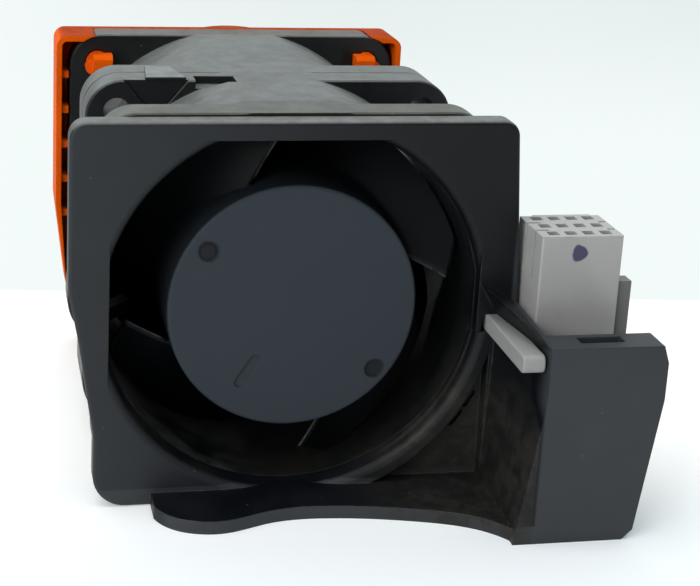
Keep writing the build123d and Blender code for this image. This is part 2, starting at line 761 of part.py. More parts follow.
def fan_room():
    """The room of the rear fan's flange inside the outlet frame, open at the top."""
    side = half_size + outlet_gap
    corner = flange_corner_radius + outlet_gap
    foot = flange_foot_radius + outlet_gap
    return outline([(side, side, corner), (-side, side, corner), (-side, -side, foot), (side, -side, foot)],
                   outlet_front - 1, rear_fan_end)


def outlet_frame():
    """Rear frame with ladder ribs, a round outlet and snap pins for the fan's flange holes."""
    body = outline(outlet_sides(0, low, outlet_corner_radius), outlet_front,
                   rear_fan_end + outlet_plate_thickness)
    pocket_base = low + outlet_foot_wall
    body -= outline(outlet_sides(outlet_wall, pocket_base, outlet_corner_radius / 2),
                    outlet_front - 1, rear_fan_end)
    body -= fan_room()
    for end in (-1, 1):
        near, far = sorted((end * (half_size - flange_foot_radius), end * (half_size + fan_size)))
        body -= box_between((near, outlet_front - 1, low - 1), (far, rear_fan_end, outlet_wall_end))
    wall_middle = half_size + outlet_left_gap + outlet_wall / 2
    for i in range(outlet_rib_count):
        z = half_size - outlet_rib_inset - i * outlet_rib_pitch
        body += box_between(
            (-wall_middle, outlet_front + outlet_rib_setback, z - outlet_rib_width / 2),
            (-half_size - outlet_gap, rear_fan_end + outlet_plate_thickness / 2, z + outlet_rib_width / 2))
    body += disc(bore_radius + outlet_rim, rear_fan_end, outlet_back)
    body -= disc(bore_radius, rear_fan_end - 1, outlet_back + 1)
    for x, z in flange_corners():
        pin = block_pin(1 if x < 0 else -1)
        body += Pos(x, rear_fan_end, z) * (Rot(0, 0, 180) * pin)
    return solid_of(body)


def skirt_outline(gap):
    """The clip's tapered skirt, or with a gap the seat for it, as corners of X and Z."""
    left = clip_tab_left - skirt_left_margin - gap
    right = clip_tab_right + skirt_right_margin + gap
    middle = (left + right) / 2
    foot = skirt_foot_width / 2 + gap
    bottom = half_size - skirt_height - gap
    return [(middle - foot, bottom), (middle + foot, bottom), (right, half_size + gap),
            (left, half_size + gap)]


def joint_clip():
    """Clip on top of the two fans: a tab, a tapered skirt in front and a peg behind."""
    tab_front = joint_front + clip_tab_lead
    tab_back = tab_front + clip_tab_length
    base = half_size + running_gap
    plan = make_face(Polyline(
        (clip_tab_left, tab_front), (clip_tab_right, tab_front),
        (clip_tab_right - clip_right_taper, tab_back), (clip_tab_left + clip_left_taper, tab_back),
        close=True))
    tab = extrude(Pos(0, 0, base) * plan, clip_tab_thickness)
    tab = fillet(tab.faces().sort_by(Axis.Z)[-1].edges(), clip_edge_round)
    skirt_front = joint_front + skirt_setback
    skirt = plate_from(skirt_outline(0), skirt_front, skirt_front + skirt_thickness)
    neck = box_between((clip_tab_left, skirt_front, half_size - 1),
                       (clip_tab_right - clip_right_taper, skirt_front + skirt_thickness,
                        base + clip_tab_thickness / 2))
    peg = box_between((peg_left, tab_back - peg_length, half_size - peg_depth),
                      (peg_right, tab_back, base + clip_tab_thickness / 2))
    return solid_of(tab + skirt + neck + peg)


def front_fan_frame():
    """Front fan's frame, with the clip's seat and a notch in its rear flange."""
    frame = front_placed(fan_frame(front_fan_depth, front_strut_count, front_strut_angle))
    seat_back = joint_front + skirt_setback + skirt_thickness + running_gap
    frame -= plate_from(skirt_outline(2 * running_gap), joint_front - 1, seat_back)
    notch_left = clip_tab_left + top_notch_gap
    frame -= box_between((notch_left, joint_front - 1, half_size - top_notch_depth),
                         (notch_left + top_notch_width, joint_front + top_notch_length, half_size + 1))
    return solid_of(frame)


def rear_fan_frame():
    """Rear fan's frame, with the slot for the clip's peg in its front flange."""
    frame = rear_placed(fan_frame(rear_fan_depth, rear_strut_count, rear_strut_angle))
    slot_back = joint_front + clip_tab_lead + clip_tab_length + running_gap
    slot_front = slot_back - peg_length - 2 * running_gap
    frame -= box_between(
        (peg_left - running_gap, slot_front, half_size - peg_depth - running_gap),
        (peg_right + running_gap, slot_back, half_size + 1))
    return solid_of(frame)


def build():
    """All the named pieces, about the fan axis."""
    nodes = {
        "inlet_shroud": inlet_shroud(),
        "connector_housing": connector_housing(),
        "connector_contacts": connector_contacts(),
        "connector_key_bar": connector_key_bar(),
        "outlet_frame": outlet_frame(),
        "joint_clip": joint_clip(),
    }
    front = hub_marks(impeller(front_fan_depth, front_blade_count, front_blade_angle, 1))
    rear = impeller(rear_fan_depth, rear_blade_count, rear_blade_angle, -1)
    nodes["front_impeller"] = front_placed(front)
    nodes["rear_impeller"] = rear_placed(rear)
    nodes["front_fan_frame"] = front_fan_frame()
    nodes["rear_fan_frame"] = rear_fan_frame()
    for side, place, depth, length in (("front_", front_placed, front_fan_depth, front_stator_length),
                                       ("rear_", rear_placed, rear_fan_depth, rear_stator_length)):
        for name, shape in motor_parts(depth, length).items():
            nodes[side + name] = place(shape)
    return nodes


os.makedirs("parts", exist_ok=True)
for node, shape in build().items():
    export_step(Pos(0, 0, axis_height) * shape, "parts/" + node + ".step")
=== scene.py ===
import json
import math

import bpy
from mathutils import Matrix, Vector


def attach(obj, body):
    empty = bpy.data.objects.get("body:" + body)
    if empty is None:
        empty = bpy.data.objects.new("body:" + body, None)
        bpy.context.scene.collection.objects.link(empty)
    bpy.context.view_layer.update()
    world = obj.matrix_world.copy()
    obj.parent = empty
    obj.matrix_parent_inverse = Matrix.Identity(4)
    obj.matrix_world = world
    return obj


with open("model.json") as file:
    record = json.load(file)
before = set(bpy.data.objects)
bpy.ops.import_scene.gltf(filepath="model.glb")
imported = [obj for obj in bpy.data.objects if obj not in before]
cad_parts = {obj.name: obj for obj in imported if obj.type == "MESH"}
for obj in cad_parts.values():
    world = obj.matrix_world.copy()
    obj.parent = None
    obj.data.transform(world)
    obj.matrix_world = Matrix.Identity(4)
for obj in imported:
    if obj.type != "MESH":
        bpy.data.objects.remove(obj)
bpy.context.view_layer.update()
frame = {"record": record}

bpy.ops.object.select_all(action='DESELECT')
print("frame loaded")

# The camera stands in front of the inlet, a little left and above
cameraView = {
    "place": (-0.04879, -0.22065, 0.11565),    # metres
    "yaw": 11.079, "pitch": 15.860, "roll": 2.4635,    # degrees
    "lens": 82.138, "sensor": 36.0, "shiftX": 0.1214, "shiftY": -0.1614,
    "clipStart": 0.01, "clipEnd": 50,
}


def makeCamera(view):
    yaw, pitch, roll = (math.radians(view[k]) for k in ("yaw", "pitch", "roll"))
    ahead = Vector((math.sin(yaw) * math.cos(pitch), math.cos(yaw) * math.cos(pitch), -math.sin(pitch)))
    right = Vector((math.cos(yaw), -math.sin(yaw), 0))
    up = right.cross(ahead)
    tiltedRight = right * math.cos(roll) + up * math.sin(roll)
    tiltedUp = up * math.cos(roll) - right * math.sin(roll)
    turn = Matrix((tiltedRight, tiltedUp, -ahead)).transposed().to_4x4()
    data = bpy.data.cameras.new("camera")
    data.sensor_width = view["sensor"]
    data.lens = view["lens"]
    data.shift_x = view["shiftX"]
    data.shift_y = view["shiftY"]
    data.clip_start = view["clipStart"]
    data.clip_end = view["clipEnd"]
    camera = bpy.data.objects.new("camera", data)
    camera.matrix_world = Matrix.Translation(view["place"]) @ turn
    bpy.context.scene.collection.objects.link(camera)
    bpy.context.scene.camera = camera


makeCamera(cameraView)
bpy.context.scene.view_settings.view_transform = 'Standard'
print("camera ready")


# Node helpers: a value may be a plain number, a colour or another node's output
def addNode(tree, kind, settings=None, **inputs):
    node = tree.nodes.new(kind)
    for key, value in (settings or {}).items():
        setattr(node, key, value)
    for key, value in inputs.items():
        feed(tree, node.inputs[key.replace("_", " ")], value)
    return node


def feed(tree, socket, value):
    if isinstance(value, bpy.types.NodeSocket):
        tree.links.new(value, socket)
    else:
        socket.default_value = value


def calc(tree, operation, *values, clamp=False):
    node = addNode(tree, "ShaderNodeMath", {"operation": operation, "use_clamp": clamp})
    for socket, value in zip(node.inputs, values):
        feed(tree, socket, value)
    return node.outputs[0]


def times(tree, first, *others):    # several masks multiplied
    for other in others:
        first = calc(tree, 'MULTIPLY', first, other)
    return first


def square(tree, value):
    return calc(tree, 'MULTIPLY', value, value)


def span(tree, value, low, high, start=0.0, end=1.0):    # a smooth step between two limits
    node = addNode(tree, "ShaderNodeMapRange", {"interpolation_type": 'SMOOTHSTEP'})
    given = {"Value": value, "From Min": low, "From Max": high, "To Min": start, "To Max": end}
    for name, number in given.items():
        feed(tree, node.inputs[name], number)
    return node.outputs[0]


def blend(tree, factor, first, second):
    node = addNode(tree, "ShaderNodeMix", {"data_type": 'RGBA'})
    feed(tree, node.inputs[0], factor)
    feed(tree, node.inputs[6], first)
    feed(tree, node.inputs[7], second)
    return node.outputs[2]


def noise(tree, place, scale, detail, rough):
    node = addNode(tree, "ShaderNodeTexNoise", Vector=place, Scale=scale, Detail=detail, Roughness=rough)
    return node.outputs["Fac"]


def split(tree, value):    # the X, Y and Z of a place or a direction
    return addNode(tree, "ShaderNodeSeparateXYZ", Vector=value).outputs


def vectorMath(tree, operation, *values):
    node = addNode(tree, "ShaderNodeVectorMath", {"operation": operation})
    for socket, value in zip(node.inputs, values):
        feed(tree, socket, value)
    return node.outputs


def freshMaterial(name):
    material = bpy.data.materials.new(name)
    material.use_nodes = True
    material.node_tree.nodes.clear()
    return material, material.node_tree


def makeGroup(name, inputs, outputs):
    group = bpy.data.node_groups.new(name, "ShaderNodeTree")
    for label, kind in inputs:
        group.interface.new_socket(name=label, in_out='INPUT', socket_type=kind)
    for label, kind in outputs:
        group.interface.new_socket(name=label, in_out='OUTPUT', socket_type=kind)
    return group, group.nodes.new("NodeGroupInput").outputs, group.nodes.new("NodeGroupOutput").inputs


numberKind = "NodeSocketFloat"
vectorKind = "NodeSocketVector"

# In the dictionaries below, ...Noise is a scale per millimetre, a detail and a roughness, and ...Span is
# where a smooth step begins and ends, then what it gives there if that isn't 0 and 1
grainPattern = {
    "fineDetail": 3.0, "fineRough": 0.6,
    "slowScale": 0.03, "slowDetail": 3.0, "slowRough": 0.55, "slowShare": 0.6,
}


# Fine texture of a spark-eroded mould, with a slow waviness under it
def makeGrainGroup(look):
    group, given, out = makeGroup("mouldGrain", [("Place", vectorKind), ("Size", numberKind)],
                                  [("Height", numberKind), ("Patch", numberKind)])
    scale = calc(group, 'DIVIDE', 1.0, given["Size"])
    slowScale = calc(group, 'MULTIPLY', scale, look["slowScale"])
    fine = noise(group, given["Place"], scale, look["fineDetail"], look["fineRough"])
    slow = noise(group, given["Place"], slowScale, look["slowDetail"], look["slowRough"])
    feed(group, out["Height"], calc(group, 'ADD', fine, calc(group, 'MULTIPLY', slow, look["slowShare"])))
    feed(group, out["Patch"], slow)
    return group


edgePattern = {"samples": 6, "turnSpan": (0.01, 0.22), "breakNoise": (0.55, 4.0, 0.65), "breakFade": 0.25}


# Softened corner normal, and a broken mask along sharp edges
def makeEdgeGroup(look):
    group, given, out = makeGroup("softEdge",
                                  [("Place", vectorKind), ("Width", numberKind), ("Break", numberKind)],
                                  [("Normal", vectorKind), ("Mask", numberKind)])
    soft = addNode(group, "ShaderNodeBevel", {"samples": look["samples"]}, Radius=given["Width"]).outputs[0]
    flat = addNode(group, "ShaderNodeNewGeometry").outputs["Normal"]
    alike = vectorMath(group, 'DOT_PRODUCT', soft, flat)["Value"]
    edge = span(group, calc(group, 'SUBTRACT', 1.0, alike), *look["turnSpan"])
    breakEnd = calc(group, 'ADD', given["Break"], look["breakFade"])
    brokenUp = span(group, noise(group, given["Place"], *look["breakNoise"]), given["Break"], breakEnd)
    feed(group, out["Normal"], soft)
    feed(group, out["Mask"], calc(group, 'MULTIPLY', edge, brokenUp))
    return group


dustAndSheenPattern = {
    "upSpan": (0.3, 0.95), "riseSpan": (0.0, 12.0),
    "cloudNoise": (0.35, 5.0, 0.65), "cloudSpan": (0.2, 0.8, 0.55, 1.0),
    "samples": 6, "closedSpan": (0.62, 0.2), "streakNoise": (0.8, 5.0, 0.7), "streakSpan": (0.3, 0.7),
    "speckScale": 0.42, "speckSpan": (0.085, 0.04), "pickSpan": (0.72, 0.86),
}


# Dust and painted sheen: a pale film on faces that look up above a height, partly dust and partly the sheen
# those tops catch from above, dirt in inner corners, and loose specks
def makeDustAndSheenGroup(look):
    group, given, out = makeGroup("dustAndSheen",
                                  [("Place", vectorKind), ("Facing", vectorKind), ("Reach", numberKind),
                                   ("Cover", numberKind), ("Height", numberKind)],
                                  [("Film", numberKind), ("Corner", numberKind), ("Specks", numberKind)])
    place = given["Place"]
    up = span(group, split(group, given["Facing"])["Z"], *look["upSpan"])
    above = calc(group, 'SUBTRACT', split(group, place)["Z"], given["Height"])
    cloud = span(group, noise(group, place, *look["cloudNoise"]), *look["cloudSpan"])
    film = times(group, up, cloud, span(group, above, *look["riseSpan"]))
    # the film: dust, and a painted sheen on the faces that look up
    feed(group, out["Film"], calc(group, 'MULTIPLY', film, given["Cover"], clamp=True))
    hollow = addNode(group, "ShaderNodeAmbientOcclusion", {"samples": look["samples"]},
                     Distance=given["Reach"])
    closed = span(group, hollow.outputs["AO"], *look["closedSpan"])
    streak = span(group, noise(group, place, *look["streakNoise"]), *look["streakSpan"])
    feed(group, out["Corner"], calc(group, 'MULTIPLY', closed, streak, clamp=True))
    cell = addNode(group, "ShaderNodeTexVoronoi", {"feature": 'F1'}, Vector=place, Scale=look["speckScale"])
    dot = span(group, cell.outputs["Distance"], *look["speckSpan"])
    pick = addNode(group, "ShaderNodeSeparateColor", Color=cell.outputs["Color"]).outputs[0]
    feed(group, out["Specks"], calc(group, 'MULTIPLY', dot, span(group, pick, *look["pickSpan"])))
    return group


grainGroup = makeGrainGroup(grainPattern)
edgeGroup = makeEdgeGroup(edgePattern)
dustAndSheenGroup = makeDustAndSheenGroup(dustAndSheenPattern)


def useGroup(tree, group, **inputs):
    return addNode(tree, "ShaderNodeGroup", {"node_tree": group}, **inputs).outputs


def objectPlace(tree):    # coordinates in millimetres
    coords = addNode(tree, "ShaderNodeTexCoord")
    grow = addNode(tree, "ShaderNodeVectorMath", {"operation": 'SCALE'}, Scale=1000)
    feed(tree, grow.inputs[0], coords.outputs["Object"])
    return grow.outputs[0]


def objectFacing(tree):    # the surface's direction
    return addNode(tree, "ShaderNodeTexCoord").outputs["Normal"]


def finishSurface(tree, look, base, roughness, height, softNormal):
    bump = addNode(tree, "ShaderNodeBump", Height=height, Normal=softNormal)
    bump.inputs["Strength"].default_value = look["bumpStrength"]
    bump.inputs["Distance"].default_value = look["bumpDepth"] / 1000
    shader = addNode(tree, "ShaderNodeBsdfPrincipled", Base_Color=base, Roughness=roughness)
    shader.inputs["Metallic"].default_value = look.get("metallic", 0.0)
    shader.inputs["IOR"].default_value = look["ior"]
    feed(tree, shader.inputs["Normal"], bump.outputs[0])
    addNode(tree, "ShaderNodeOutputMaterial", Surface=shader.outputs[0])


# Moulded plastic: grain, slow colour shift, pale edges (wear, and on the black plastics a painted highlight
# along the edges), a top film of dust and painted sheen, corner dirt and specks.
# paint changes the bare colour and the pale edges, and the last argument gives the top film another colour
def makePlastic(name, look, paint=None, tintFilm=None):
    material, tree = freshMaterial(name)
    place = objectPlace(tree)
    facing = objectFacing(tree)
    grain = useGroup(tree, grainGroup, Place=place, Size=look["grain"])
    edge = useGroup(tree, edgeGroup, Place=place, Width=look["edge"] / 1000, Break=look["edgeBreak"])
    dustAndSheen = useGroup(tree, dustAndSheenGroup, Place=place, Facing=facing, Reach=look["dirtReach"] / 1000,
                    Cover=look["film"], Height=look["filmHeight"])
    base = blend(tree, span(tree, grain["Patch"], *look["patchSpan"]), look["dark"], look["light"])
    paleEdge = calc(tree, 'MULTIPLY', edge["Mask"], look["paleEdge"])
    if paint:
        base, paleEdge = paint(tree, place, facing, base, paleEdge)
    filmTone = tintFilm(tree, place, look["dustAndSheenColour"]) if tintFilm else look["dustAndSheenColour"]
    # pale edges: wear, and on the black plastics a painted highlight along the edges
    base = blend(tree, paleEdge, base, look["paleEdgeColour"])
    base = blend(tree, calc(tree, 'MULTIPLY', dustAndSheen["Corner"], look["dirt"]), base, look["dirtColour"])
    # the top film: dust, and a painted sheen on the faces that look up
    base = blend(tree, dustAndSheen["Film"], base, filmTone)
    base = blend(tree, calc(tree, 'MULTIPLY', dustAndSheen["Specks"], look["specks"]), base, look["speckColour"])
    smooth, coarse = look["rough"] - look["roughShift"], look["rough"] + look["roughShift"]
    rough = span(tree, grain["Patch"], *look["roughSpan"], smooth, coarse)
    rough = calc(tree, 'ADD', rough, calc(tree, 'MULTIPLY', dustAndSheen["Film"], look["filmRough"]), clamp=True)
    finishSurface(tree, look, base, rough, grain["Height"], edge["Normal"])
    return material


# Sizes in the looks are millimetres
mouldedPlastic = {
    "patchSpan": (0.35, 0.65), "roughSpan": (0.3, 0.7), "filmRough": 0.08,
    "edgeBreak": 0.45, "dirtReach": 3.0, "filmHeight": 40.0, "bumpStrength": 0.5, "ior": 1.5,
}
# in the black plastics the top film colour stands partly for dust and partly for a painted sheen on the tops
blackShroud = dict(
    mouldedPlastic, dark=(0.0020, 0.0032, 0.0050, 1), light=(0.0040, 0.0052, 0.0072, 1),
    paleEdgeColour=(0.11, 0.115, 0.12, 1), dirtColour=(0.036, 0.034, 0.024, 1), dustAndSheenColour=(0.22, 0.23, 0.225, 1),
    speckColour=(0.20, 0.20, 0.19, 1), grain=0.22, bumpDepth=0.04, edge=0.35, paleEdge=0.55,
    film=1.0, dirt=0.5, specks=0.3, rough=0.47, roughShift=0.04, ior=1.32)
blackFan = dict(
    mouldedPlastic, dark=(0.004, 0.006, 0.007, 1), light=(0.007, 0.009, 0.010, 1),
    paleEdgeColour=(0.11, 0.115, 0.12, 1), dirtColour=(0.036, 0.034, 0.024, 1), dustAndSheenColour=(0.185, 0.20, 0.195, 1),
    speckColour=(0.20, 0.20, 0.19, 1), grain=0.22, bumpDepth=0.04, edge=0.35, paleEdge=0.5,
    film=0.95, dirt=0.5, specks=0.5, rough=0.42, roughShift=0.04, ior=1.42)
blackClip = dict(blackFan, film=1.0, dustAndSheenColour=(0.26, 0.285, 0.28, 1))
# in the black plastics the pale edge colour stands partly for wear and partly for a painted highlight along
# the edges
blackImpeller = dict(
    mouldedPlastic, dark=(0.0010, 0.0018, 0.0026, 1), light=(0.0020, 0.0028, 0.0036, 1),
    paleEdgeColour=(0.15, 0.155, 0.16, 1), dirtColour=(0.020, 0.019, 0.014, 1), dustAndSheenColour=(0.10, 0.105, 0.10, 1),
    speckColour=(0.20, 0.20, 0.19, 1), grain=0.3, bumpDepth=0.03, edge=0.45, edgeBreak=0.3, paleEdge=0.8,
    film=0.0, dirt=0.15, specks=0.12, rough=0.42, roughShift=0.04, ior=1.2)
orangeFrame = dict(
    mouldedPlastic, dark=(0.76, 0.098, 0.003, 1), light=(0.86, 0.118, 0.004, 1),
    paleEdgeColour=(0.90, 0.17, 0.012, 1), dirtColour=(0.16, 0.02, 0.003, 1), dustAndSheenColour=(0.50, 0.20, 0.11, 1),
    speckColour=(0.8, 0.5, 0.35, 1), grain=0.3, bumpDepth=0.04, edge=0.3, paleEdge=0.3,
    film=0.0, dirt=0.15, specks=0.15, rough=0.45, roughShift=0.05, ior=1.06)
greyPlug = dict(
    mouldedPlastic, dark=(0.39, 0.395, 0.39, 1), light=(0.43, 0.435, 0.43, 1),
    paleEdgeColour=(0.52, 0.53, 0.52, 1), dirtColour=(0.18, 0.175, 0.16, 1), dustAndSheenColour=(0.5, 0.49, 0.46, 1),
    speckColour=(0.15, 0.15, 0.15, 1), grain=0.25, bumpDepth=0.04, edge=0.2, paleEdge=0.5,
    film=0.25, filmHeight=20.0, dirt=0.5, dirtReach=1.5, specks=0.3, rough=0.48, roughShift=0.06)
greyBar = dict(
    greyPlug, dark=(0.30, 0.305, 0.305, 1), light=(0.33, 0.335, 0.335, 1), paleEdgeColour=(0.45, 0.45, 0.45, 1),
    dirt=0.3, film=0.0)
whiteInsulator = dict(
    greyPlug, dark=(0.74, 0.73, 0.69, 1), light=(0.8, 0.79, 0.75, 1), paleEdgeColour=(0.85, 0.85, 0.82, 1), film=0.1)


# X runs to the wing, Y along the airflow from the plate's front, Z up from the table
shroudHazeAndReflection = {
    "frontSpan": (-0.4, -0.8),    # of the direction's Y
    # colour is the pale haze: partly dust, partly a painted reflection that lightens the front faces
    "colour": (0.0430, 0.0490, 0.0560, 1), "plateXSpan": (27.0, -40.0, 0.0, 0.64),
    "wingXSpan": (33.6, 34.2), "lipZSpan": (3.2, 2.7),
    "cloudNoise": (0.09, 5.0, 0.6), "cloudSpan": (0.25, 0.75, 0.85, 1.0),
    "smearNoise": (0.22, 7.0, 0.68), "smearSpan": (0.36, 0.66),
    "smearColour": (0.0230, 0.0220, 0.0190, 1), "rightXSpan": (8, 22), "lowZSpan": (26, 14),
    "wingEdgeXSpan": (33.6, 33.4), "rightSmearSpan": (0.0, 1.0, 0.35, 1.0),
    # the sunk corner's floor colour is painted light, over its dust
    "recessLightColour": (0.038, 0.037, 0.034, 1), "hollowXSpan": (14, 18), "hollowYSpan": (1.7, 2.3),
    "slotYSpan": (2.6, 2.5), "hollowSmearSpan": (0.0, 1.0, 0.4, 0.9),
    "leftXSpan": (-8, -18), "mouthYSpan": (0.2, 0.8),
    # the snap pins' colour is painted light: black pins painted pale grey for the light on their tops, with
    # dust
    "pinLightColour": (0.22, 0.205, 0.225, 1), "pinYSpan": (5.2, 5.6),
}


# Pale haze on the shroud, partly fine dust and partly a painted reflection that lightens the front faces:
# thick at the plate's left, on the wing and on the lip's front, brown smears in the sunk corner and low
# round the mouth, painted light on the sunk corner's floor over its dust, and snap pins painted pale grey
# for the light on their tops
def hazeAndLightOnShroud(tree, place, facing, base, paleEdge):
    look = shroudHazeAndReflection
    axis = split(tree, place)
    front = span(tree, split(tree, facing)["Y"], *look["frontSpan"])
    plate = times(tree, span(tree, axis["X"], *look["plateXSpan"]), front)
    wing = span(tree, axis["X"], *look["wingXSpan"])
    lip = times(tree, span(tree, axis["Z"], *look["lipZSpan"]), front)
    cover = calc(tree, 'MAXIMUM', calc(tree, 'MAXIMUM', plate, wing), lip)
    cloud = span(tree, noise(tree, place, *look["cloudNoise"]), *look["cloudSpan"])
    # partly dust, partly painted reflection: front faces hazed paler, most at the plate's left, on the wing
    # and on the lip
    base = blend(tree, times(tree, cover, cloud), base, look["colour"])
    smear = span(tree, noise(tree, place, *look["smearNoise"]), *look["smearSpan"])
    low = span(tree, axis["Z"], *look["lowZSpan"])
    right = times(tree, span(tree, axis["X"], *look["rightXSpan"]), low,
                  span(tree, axis["X"], *look["wingEdgeXSpan"]), span(tree, smear, *look["rightSmearSpan"]))
    base = blend(tree, right, base, look["smearColour"])
    # painted light, over dust: the floor of the sunk corner lightened where the recess lies in shade
    hollow = times(tree, span(tree, axis["X"], *look["hollowXSpan"]),
                   span(tree, axis["Y"], *look["hollowYSpan"]), span(tree, axis["Y"], *look["slotYSpan"]),
                   span(tree, smear, *look["hollowSmearSpan"]))
    base = blend(tree, hollow, base, look["recessLightColour"])
    left = times(tree, span(tree, axis["X"], *look["leftXSpan"]), span(tree, axis["Y"], *look["mouthYSpan"]),
                 low, smear)
    base = blend(tree, left, base, look["smearColour"])
    # painted light: the snap pins painted pale grey
    return blend(tree, span(tree, axis["Y"], *look["pinYSpan"]), base, look["pinLightColour"]), paleEdge


hubLightAndHaze = {
    # colour is painted light on the hub face, with some haze: the hub lit, the blades in the duct's shade
    "colour": (0.0375, 0.0480, 0.0575, 1), "axis": (0, 0, 31.0),
    "hubSpan": (19.5, 19.0), "bladeSpan": (19.9, 20.9),    # distance from the axis
    "frontYSpan": (20, 19),    # keeps the dirt off the rear rotor
    "marks": ((-13.19, 40.23, 1.7), (13.32, 20.60, 1.5)),    # X, Z and radius of the round moulding marks
    "markColour": (0.006, 0.007, 0.008, 1), "markNoise": (0.7, 5.0, 0.7), "markRagged": 0.9,
    "markInset": (0.1, 0.9), "markShare": 0.7,
    "bladeColour": (0.018, 0.019, 0.022, 1), "bladeXSpan": (4, 18),
}


# Painted light on the impeller: the hub's face is painted paler than the blades, the hub standing lit and
# the blades in the duct's shade, with some haze; dirt in its two round marks
def paintHubLight(tree, place, facing, base, paleEdge):
    look = hubLightAndHaze
    axis = split(tree, place)
    flat = addNode(tree, "ShaderNodeCombineXYZ", X=axis["X"], Z=axis["Z"]).outputs[0]
    apart = vectorMath(tree, 'DISTANCE', flat, look["axis"])["Value"]
    onHub = span(tree, apart, *look["hubSpan"])
    onBlades = span(tree, apart, *look["bladeSpan"])
    onFront = span(tree, axis["Y"], *look["frontYSpan"])
    # painted light: the hub face paler than the shaded blades, with some haze
    base = blend(tree, onHub, base, look["colour"])
    ragged = calc(tree, 'MULTIPLY', noise(tree, place, *look["markNoise"]), look["markRagged"])
    outer, inner = look["markInset"]
    for x, z, radius in look["marks"]:
        gap = vectorMath(tree, 'DISTANCE', flat, (x, 0, z))["Value"]
        rim = calc(tree, 'SUBTRACT', gap, ragged)
        dirt = span(tree, rim, radius - outer, radius - inner, 0.0, look["markShare"])
        base = blend(tree, times(tree, dirt, onFront, onHub), base, look["markColour"])
    # a lighter tone on the blades towards the right
    rightBladeTone = times(tree, span(tree, axis["X"], *look["bladeXSpan"]), onBlades, onFront)
    base = blend(tree, rightBladeTone, base, look["bladeColour"])
    # pale edges only on the blades: painted highlight along their edges, with wear
    return base, calc(tree, 'MULTIPLY', paleEdge, onBlades)


frameTopShade = {
    # colour is painted shade for the frame's top faces
    "colour": (0.35, 0.038, 0.001, 1), "highSpan": (60.2, 61.0), "upSpan": (0.1, 0.8),
    "cloudNoise": (0.5, 5.0, 0.65), "cloudSpan": (0.3, 0.7, 0.7, 1.0),
}


def shadeOnFrameTop(tree, place, facing, base, paleEdge):    # painted shade: darker orange on the frame's top faces, broken up in clouds
    look = frameTopShade
    high = span(tree, split(tree, place)["Z"], *look["highSpan"])
    up = span(tree, split(tree, facing)["Z"], *look["upSpan"])
    cloud = span(tree, noise(tree, place, *look["cloudNoise"]), *look["cloudSpan"])
    # painted shade: the top faces darker
    return blend(tree, times(tree, high, up, cloud), base, look["colour"]), paleEdge


ductDust = {
    "colour": (0.018, 0.017, 0.014, 1), "leftColour": (0.072, 0.075, 0.076, 1), "leftXSpan": (0, -14),
    "upSpan": (0.0, 0.5), "lowZSpan": (34, 22), "smearNoise": (0.16, 6.0, 0.66), "smearSpan": (0.35, 0.65),
}


def dustInDuct(tree, place, facing, base, paleEdge):    # brown dust low in the fans' ducts; towards the left these low faces turn pale grey
    look = ductDust
    axis = split(tree, place)
    up = span(tree, split(tree, facing)["Z"], *look["upSpan"])
    low = span(tree, axis["Z"], *look["lowZSpan"])
    smear = span(tree, noise(tree, place, *look["smearNoise"]), *look["smearSpan"])
    tone = blend(tree, span(tree, axis["X"], *look["leftXSpan"]), look["colour"], look["leftColour"])
    return blend(tree, times(tree, up, low, smear), base, tone), paleEdge


ledgeFilmTint = {
    "frontColour": (0.125, 0.132, 0.116, 1), "frontYSpan": (11.6, 11.2),
    "rearColour": (0.148, 0.118, 0.100, 1), "rearYSpan": (64.0, 64.6),
    "cloudNoise": (0.6, 5.0, 0.7), "cloudSpan": (0.3, 0.7, 0.7, 1.0),
}


def tintLedgeFilm(tree, place, plain):    # the top film on the first and last flanges of the fans, dust and painted sheen, turns browner
    look = ledgeFilmTint
    depth = split(tree, place)["Y"]
    cloud = span(tree, noise(tree, place, *look["cloudNoise"]), *look["cloudSpan"])
    front = times(tree, span(tree, depth, *look["frontYSpan"]), cloud)
    rear = times(tree, span(tree, depth, *look["rearYSpan"]), cloud)
    return blend(tree, rear, blend(tree, front, plain, look["frontColour"]), look["rearColour"])


plugInkAndShade = {
    "inkX": 41.5, "inkZ": 41.9, "inkWide": 1.35, "inkTall": 1.65, "inkColour": (0.025, 0.013, 0.088, 1),
    "inkSlant": (0.5, 1.2), "inkNoise": (1.6, 4.0, 0.6), "inkRagged": 0.5, "inkSpan": (1.25, 0.85),
    "inkShare": 0.92, "frontYSpan": (-6.7, -6.9),
    # the key rib's colour is painted shade
    "keyXSpan": (48.3, 48.45), "keyShadeColour": (0.15, 0.155, 0.15, 1),
}


# A purple dab of ink on the plug's front face, a round triangle with a soft rim, and painted shade that
# darkens the key rib
def inkAndKeyShadeOnPlug(tree, place, facing, base, paleEdge):
    look = plugInkAndShade
    axis = split(tree, place)
    across = calc(tree, 'DIVIDE', calc(tree, 'SUBTRACT', axis["X"], look["inkX"]), look["inkWide"])
    upward = calc(tree, 'DIVIDE', calc(tree, 'SUBTRACT', axis["Z"], look["inkZ"]), look["inkTall"])
    narrowing = times(tree, upward, calc(tree, 'MULTIPLY_ADD', across, *look["inkSlant"]))
    away = calc(tree, 'ADD', square(tree, narrowing), square(tree, across))
    ragged = calc(tree, 'MULTIPLY', noise(tree, place, *look["inkNoise"]), look["inkRagged"])
    dab = span(tree, calc(tree, 'ADD', away, ragged), *look["inkSpan"])
    dab = times(tree, dab, span(tree, axis["Y"], *look["frontYSpan"]), look["inkShare"])
    base = blend(tree, dab, base, look["inkColour"])
    # painted shade on the key rib
    return blend(tree, span(tree, axis["X"], *look["keyXSpan"]), base, look["keyShadeColour"]), paleEdge


